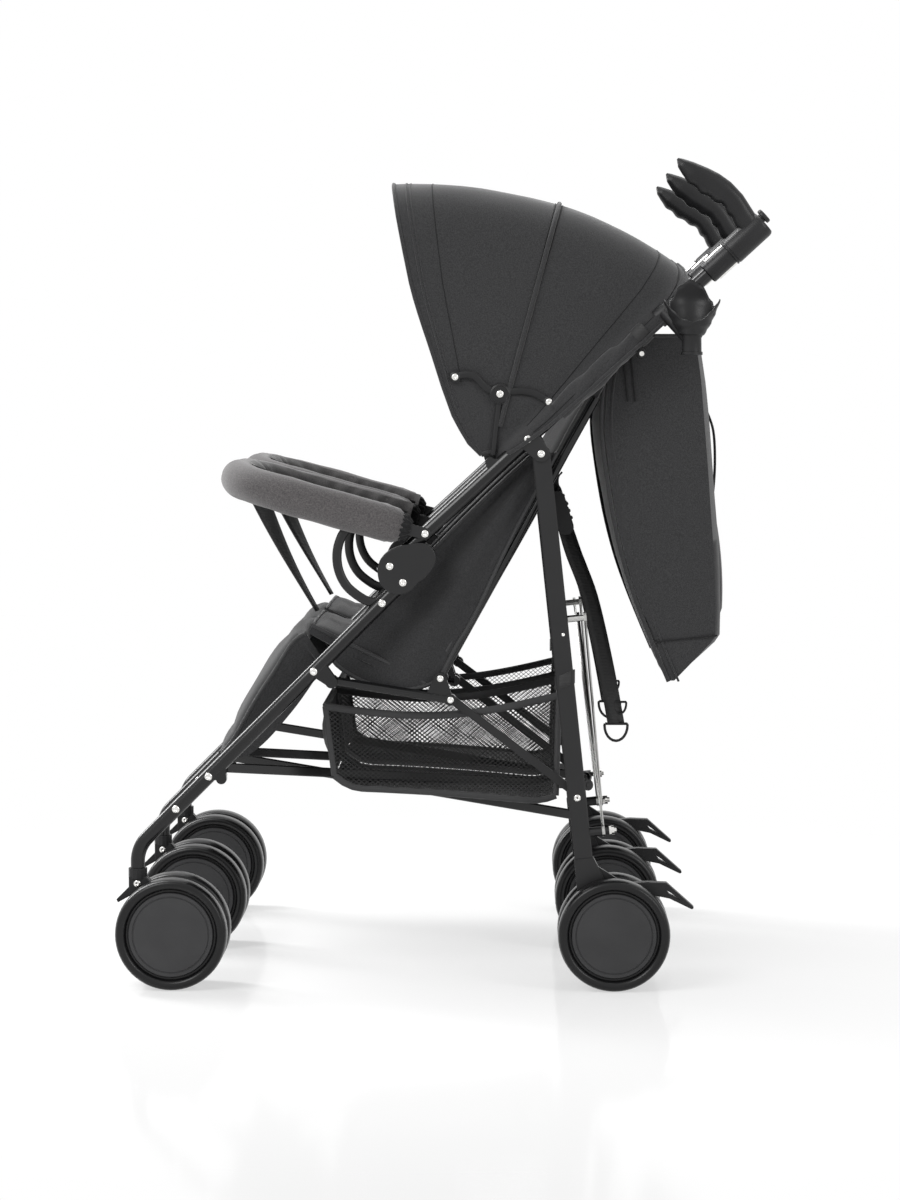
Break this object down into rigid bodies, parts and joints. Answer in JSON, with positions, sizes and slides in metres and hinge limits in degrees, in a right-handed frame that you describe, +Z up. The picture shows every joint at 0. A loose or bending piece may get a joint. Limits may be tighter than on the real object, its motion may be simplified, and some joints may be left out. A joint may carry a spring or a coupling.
{
  "type": "double stroller",
  "caption": "Side-by-side folding umbrella double stroller with hooked handles, hooded seats, bumper bars, twin wheels, rear bag and cup holder.",
  "frame": {"origin": "centre of the bounding box on the ground plane that the wheels stand on", "axes": "+Z up, +X towards the rear wheels and handles, the children face -X"},
  "size_m": [0.8638, 0.7986, 1.094],
  "materials": {
    "black_tube": "black gloss paint on drawn aluminium tube",
    "steel": "bright zinc-plated flat steel",
    "black_plastic": "fine-grained satin black moulded plastic",
    "grip": "soft satin black moulding",
    "wheel": "black foam tyre with a smooth sheen on a black plastic wheel",
    "charcoal_fabric": "plain-woven charcoal polyester",
    "grey_sleeve": "padded dark grey melange sleeve",
    "black_mesh": "black woven cloth and net",
    "black_webbing": "ribbed black webbing"
  },
  "bodies": {
    "mid_frame": {"handle_tube_mid": "black_tube", "front_leg_mid": "black_tube", "handle_grip_mid": "grip", "leg_rest_left": "charcoal_fabric", "leg_rest_right": "charcoal_fabric", "basket_left": "black_mesh", "basket_right": "black_mesh", "canopy_left": "charcoal_fabric", "canopy_right": "charcoal_fabric", "storage_bag": "charcoal_fabric"},
    "left_frame": {"handle_tube_left": "black_tube", "front_leg_left": "black_tube", "handle_grip_left": "grip", "cup_holder": "black_plastic"},
    "right_frame": {"handle_tube_right": "black_tube", "front_leg_right": "black_tube", "handle_grip_right": "grip"},
    "rear_leg_left": {"rear_leg_left": "black_tube"},
    "rear_leg_mid": {"rear_leg_mid": "black_tube"},
    "rear_leg_right": {"rear_leg_right": "black_tube"},
    "seat_bar_left": {"seat_bar_left": "black_tube"},
    "seat_bar_mid": {"seat_bar_mid": "black_tube", "seat_left": "charcoal_fabric", "seat_right": "charcoal_fabric"},
    "seat_bar_right": {"seat_bar_right": "black_tube"},
    "seat_link_left": {"seat_link_left": "black_tube"},
    "seat_link_mid": {"seat_link_mid": "black_tube"},
    "seat_link_right": {"seat_link_right": "black_tube"},
    "floor_cross_left_outer": {"floor_cross_left_outer": "black_tube"},
    "floor_cross_left_inner": {"floor_cross_left_inner": "black_tube"},
    "floor_cross_right_outer": {"floor_cross_right_outer": "black_tube"},
    "floor_cross_right_inner": {"floor_cross_right_inner": "black_tube"},
    "rear_cross_left_outer": {"rear_cross_left_outer": "steel"},
    "rear_cross_left_inner": {"rear_cross_left_inner": "steel"},
    "rear_cross_right_outer": {"rear_cross_right_outer": "steel"},
    "rear_cross_right_inner": {"rear_cross_right_inner": "steel"},
    "recline_hub_left": {"recline_hub_left": "black_plastic", "recline_strap_left": "black_webbing"},
    "recline_hub_right": {"recline_hub_right": "black_plastic", "recline_strap_right": "black_webbing"},
    "backrest_left": {"backrest_left": "charcoal_fabric"},
    "backrest_right": {"backrest_right": "charcoal_fabric"},
    "canopy_front_bow_left": {"canopy_front_bow_left": "black_plastic"},
    "canopy_front_bow_right": {"canopy_front_bow_right": "black_plastic"},
    "canopy_mid_bow_left": {"canopy_mid_bow_left": "black_plastic"},
    "canopy_mid_bow_right": {"canopy_mid_bow_right": "black_plastic"},
    "bumper_bar_left": {"bumper_bar_left": "grey_sleeve"},
    "bumper_bar_right": {"bumper_bar_right": "grey_sleeve"},
    "caster_left": {"caster_left": "black_plastic"},
    "caster_mid": {"caster_mid": "black_plastic"},
    "caster_right": {"caster_right": "black_plastic"},
    "front_wheels_left": {"front_wheels_left": "wheel"},
    "front_wheels_mid": {"front_wheels_mid": "wheel"},
    "front_wheels_right": {"front_wheels_right": "wheel"},
    "rear_wheels_left": {"rear_wheels_left": "wheel"},
    "rear_wheels_mid": {"rear_wheels_mid": "wheel"},
    "rear_wheels_right": {"rear_wheels_right": "wheel"},
    "brake_pedal_left": {"brake_pedal_left": "black_plastic"},
    "brake_pedal_mid": {"brake_pedal_mid": "black_plastic"},
    "brake_pedal_right": {"brake_pedal_right": "black_plastic"}
  },
  "joints": [
    {"name": "fold", "type": "hinge", "parent": "mid_frame", "child": "rear_leg_mid", "pos_m": [0.12908, 0.01675, 0.70692], "axis": [0, 1, 0], "range_deg": [0, 44], "deforming": ["canopy_left", "canopy_right", "canopy_front_bow_left", "canopy_front_bow_right", "canopy_mid_bow_left", "canopy_mid_bow_right", "seat_left", "seat_right", "leg_rest_left", "leg_rest_right", "backrest_left", "backrest_right", "bumper_bar_left", "bumper_bar_right", "basket_left", "basket_right", "storage_bag", "recline_strap_left", "recline_strap_right"]},
    {"name": "left_frame_close", "type": "slide", "parent": "mid_frame", "child": "left_frame", "axis": [0, 1, 0], "range_m": [0, 0.23]},
    {"name": "right_frame_close", "type": "slide", "parent": "mid_frame", "child": "right_frame", "axis": [0, -1, 0], "range_m": [0, 0.23]},
    {"name": "left_rear_leg_fold", "type": "hinge", "parent": "left_frame", "child": "rear_leg_left", "pos_m": [0.12908, -0.31825, 0.70692], "axis": [0, 1, 0], "range_deg": [0, 44]},
    {"name": "right_rear_leg_fold", "type": "hinge", "parent": "right_frame", "child": "rear_leg_right", "pos_m": [0.12908, 0.35175, 0.70692], "axis": [0, 1, 0], "range_deg": [0, 44]},
    {"name": "mid_seat_bar_fold", "type": "hinge", "parent": "mid_frame", "child": "seat_bar_mid", "pos_m": [-0.14726, 0.01675, 0.40526], "axis": [0, -1, 0], "range_deg": [0, 61.5]},
    {"name": "left_seat_bar_fold", "type": "hinge", "parent": "left_frame", "child": "seat_bar_left", "pos_m": [-0.14726, -0.29775, 0.40526], "axis": [0, -1, 0], "range_deg": [0, 61.5]},
    {"name": "right_seat_bar_fold", "type": "hinge", "parent": "right_frame", "child": "seat_bar_right", "pos_m": [-0.14726, 0.33125, 0.40526], "axis": [0, -1, 0], "range_deg": [0, 61.5]},
    {"name": "mid_seat_link_fold", "type": "hinge", "parent": "rear_leg_mid", "child": "seat_link_mid", "pos_m": [0.17764, 0.05555, 0.25251], "axis": [0, 1, 0], "range_deg": [0, 37.6]},
    {"name": "left_seat_link_fold", "type": "hinge", "parent": "rear_leg_left", "child": "seat_link_left", "pos_m": [0.17764, -0.27945, 0.25251], "axis": [0, 1, 0], "range_deg": [0, 37.6]},
    {"name": "right_seat_link_fold", "type": "hinge", "parent": "rear_leg_right", "child": "seat_link_right", "pos_m": [0.17764, 0.31295, 0.25251], "axis": [0, 1, 0], "range_deg": [0, 37.6]},
    {"name": "floor_cross_left_outer_fold", "type": "hinge", "parent": "rear_leg_left", "child": "floor_cross_left_outer", "pos_m": [0.18332, -0.27025, 0.22194], "axis": [0.4607, 0.8862, 0.0492], "range_deg": [0, 79.25]},
    {"name": "floor_cross_left_inner_fold", "type": "hinge", "parent": "rear_leg_mid", "child": "floor_cross_left_inner", "pos_m": [0.19711, -0.03125, 0.23572], "axis": [-0.4607, 0.8862, -0.0492], "range_deg": [0, 79.25]},
    {"name": "floor_cross_right_outer_fold", "type": "hinge", "parent": "rear_leg_right", "child": "floor_cross_right_outer", "pos_m": [0.18332, 0.30375, 0.22194], "axis": [-0.4607, 0.8862, -0.0492], "range_deg": [0, 79.25]},
    {"name": "floor_cross_right_inner_fold", "type": "hinge", "parent": "rear_leg_mid", "child": "floor_cross_right_inner", "pos_m": [0.19711, 0.06475, 0.23572], "axis": [0.4607, 0.8862, 0.0492], "range_deg": [0, 79.25]},
    {"name": "rear_cross_left_outer_fold", "type": "hinge", "parent": "rear_leg_left", "child": "rear_cross_left_outer", "pos_m": [0.21257, -0.31825, 0.20797], "axis": [0.9943, 0, 0.1063], "range_deg": [0, 37.7]},
    {"name": "rear_cross_left_inner_fold", "type": "hinge", "parent": "rear_leg_mid", "child": "rear_cross_left_inner", "pos_m": [0.21755, 0.01675, 0.2085], "axis": [-0.9943, 0, -0.1063], "range_deg": [0, 35.9]},
    {"name": "rear_cross_right_outer_fold", "type": "hinge", "parent": "rear_leg_right", "child": "rear_cross_right_outer", "pos_m": [0.21755, 0.35175, 0.2085], "axis": [-0.9943, 0, -0.1063], "range_deg": [0, 35.9]},
    {"name": "rear_cross_right_inner_fold", "type": "hinge", "parent": "rear_leg_mid", "child": "rear_cross_right_inner", "pos_m": [0.21257, 0.01675, 0.20797], "axis": [0.9943, 0, 0.1063], "range_deg": [0, 37.7]},
    {"name": "recline_hub_left_fold", "type": "hinge", "parent": "seat_bar_mid", "child": "recline_hub_left", "pos_m": [-0.00392, -0.0145, 0.40864], "axis": [0, 1, 0], "range_deg": [0, 78.5]},
    {"name": "recline_hub_right_fold", "type": "hinge", "parent": "seat_bar_mid", "child": "recline_hub_right", "pos_m": [-0.00392, 0.048, 0.40864], "axis": [0, 1, 0], "range_deg": [0, 78.5]},
    {"name": "recline_left", "type": "hinge", "parent": "recline_hub_left", "child": "backrest_left", "pos_m": [-0.00392, -0.01475, 0.40864], "axis": [0, 1, 0], "range_deg": [0, 30]},
    {"name": "recline_right", "type": "hinge", "parent": "recline_hub_right", "child": "backrest_right", "pos_m": [-0.00392, 0.04825, 0.40864], "axis": [0, 1, 0], "range_deg": [0, 30]},
    {"name": "bumper_left_fold", "type": "hinge", "parent": "mid_frame", "child": "bumper_bar_left", "pos_m": [-0.02338, 0.00545, 0.60177], "axis": [0, -1, 0], "range_deg": [0, 48]},
    {"name": "bumper_right_fold", "type": "hinge", "parent": "mid_frame", "child": "bumper_bar_right", "pos_m": [-0.02338, 0.02805, 0.60177], "axis": [0, -1, 0], "range_deg": [0, 48]},
    {"name": "canopy_left_open", "type": "hinge", "parent": "mid_frame", "child": "canopy_front_bow_left", "pos_m": [0.062, 0.01675, 0.696], "axis": [0, 1, 0], "range_deg": [0, 45]},
    {"name": "canopy_right_open", "type": "hinge", "parent": "mid_frame", "child": "canopy_front_bow_right", "pos_m": [0.062, 0.01675, 0.696], "axis": [0, 1, 0], "range_deg": [0, 45]},
    {"name": "canopy_left_mid_open", "type": "hinge", "parent": "mid_frame", "child": "canopy_mid_bow_left", "pos_m": [0.062, 0.01675, 0.696], "axis": [0, 1, 0], "range_deg": [0, 16]},
    {"name": "canopy_right_mid_open", "type": "hinge", "parent": "mid_frame", "child": "canopy_mid_bow_right", "pos_m": [0.062, 0.01675, 0.696], "axis": [0, 1, 0], "range_deg": [0, 16]},
    {"name": "caster_left_swivel", "type": "hinge", "parent": "left_frame", "child": "caster_left", "pos_m": [-0.405, -0.31825, 0.158], "axis": [0, 0, 1], "continuous": true},
    {"name": "caster_mid_swivel", "type": "hinge", "parent": "mid_frame", "child": "caster_mid", "pos_m": [-0.405, 0.01675, 0.158], "axis": [0, 0, 1], "continuous": true},
    {"name": "caster_right_swivel", "type": "hinge", "parent": "right_frame", "child": "caster_right", "pos_m": [-0.405, 0.35175, 0.158], "axis": [0, 0, 1], "continuous": true},
    {"name": "front_wheels_left_spin", "type": "hinge", "parent": "caster_left", "child": "front_wheels_left", "pos_m": [-0.358, -0.31825, 0.074], "axis": [0, 1, 0], "continuous": true},
    {"name": "front_wheels_mid_spin", "type": "hinge", "parent": "caster_mid", "child": "front_wheels_mid", "pos_m": [-0.358, 0.01675, 0.074], "axis": [0, 1, 0], "continuous": true},
    {"name": "front_wheels_right_spin", "type": "hinge", "parent": "caster_right", "child": "front_wheels_right", "pos_m": [-0.358, 0.35175, 0.074], "axis": [0, 1, 0], "continuous": true},
    {"name": "rear_wheels_left_spin", "type": "hinge", "parent": "rear_leg_left", "child": "rear_wheels_left", "pos_m": [0.226, -0.31825, 0.074], "axis": [0, 1, 0], "continuous": true},
    {"name": "rear_wheels_mid_spin", "type": "hinge", "parent": "rear_leg_mid", "child": "rear_wheels_mid", "pos_m": [0.226, 0.01675, 0.074], "axis": [0, 1, 0], "continuous": true},
    {"name": "rear_wheels_right_spin", "type": "hinge", "parent": "rear_leg_right", "child": "rear_wheels_right", "pos_m": [0.226, 0.35175, 0.074], "axis": [0, 1, 0], "continuous": true},
    {"name": "brake_left", "type": "hinge", "parent": "rear_leg_left", "child": "brake_pedal_left", "pos_m": [0.24, -0.31825, 0.132], "axis": [0, 1, 0], "range_deg": [0, 18]},
    {"name": "brake_mid", "type": "hinge", "parent": "rear_leg_mid", "child": "brake_pedal_mid", "pos_m": [0.24, 0.01675, 0.132], "axis": [0, 1, 0], "range_deg": [0, 18]},
    {"name": "brake_right", "type": "hinge", "parent": "rear_leg_right", "child": "brake_pedal_right", "pos_m": [0.24, 0.35175, 0.132], "axis": [0, 1, 0], "range_deg": [0, 18]}
  ],
  "couplings": [
    {"joint": "left_frame_close", "follows": "fold", "m_per_rad": 0.2995},
    {"joint": "right_frame_close", "follows": "fold", "m_per_rad": 0.2995},
    {"joint": "left_rear_leg_fold", "follows": "fold", "ratio": 1},
    {"joint": "right_rear_leg_fold", "follows": "fold", "ratio": 1},
    {"joint": "mid_seat_bar_fold", "follows": "fold", "ratio": 1.3973},
    {"joint": "left_seat_bar_fold", "follows": "fold", "ratio": 1.3973},
    {"joint": "right_seat_bar_fold", "follows": "fold", "ratio": 1.3973},
    {"joint": "mid_seat_link_fold", "follows": "fold", "ratio": 0.8523},
    {"joint": "left_seat_link_fold", "follows": "fold", "ratio": 0.8523},
    {"joint": "right_seat_link_fold", "follows": "fold", "ratio": 0.8523},
    {"joint": "floor_cross_left_outer_fold", "follows": "fold", "ratio": 1.8005},
    {"joint": "floor_cross_left_inner_fold", "follows": "fold", "ratio": 1.8005},
    {"joint": "floor_cross_right_outer_fold", "follows": "fold", "ratio": 1.8005},
    {"joint": "floor_cross_right_inner_fold", "follows": "fold", "ratio": 1.8005},
    {"joint": "rear_cross_left_outer_fold", "follows": "fold", "ratio": 0.8564},
    {"joint": "rear_cross_left_inner_fold", "follows": "fold", "ratio": 0.8155},
    {"joint": "rear_cross_right_outer_fold", "follows": "fold", "ratio": 0.8155},
    {"joint": "rear_cross_right_inner_fold", "follows": "fold", "ratio": 0.8564},
    {"joint": "recline_hub_left_fold", "follows": "fold", "ratio": 1.7836},
    {"joint": "recline_hub_right_fold", "follows": "fold", "ratio": 1.7836},
    {"joint": "bumper_left_fold", "follows": "fold", "ratio": 1.0909},
    {"joint": "bumper_right_fold", "follows": "fold", "ratio": 1.0909},
    {"joint": "canopy_left_mid_open", "follows": "canopy_left_open", "ratio": 0.35},
    {"joint": "canopy_right_mid_open", "follows": "canopy_right_open", "ratio": 0.35}
  ]
}
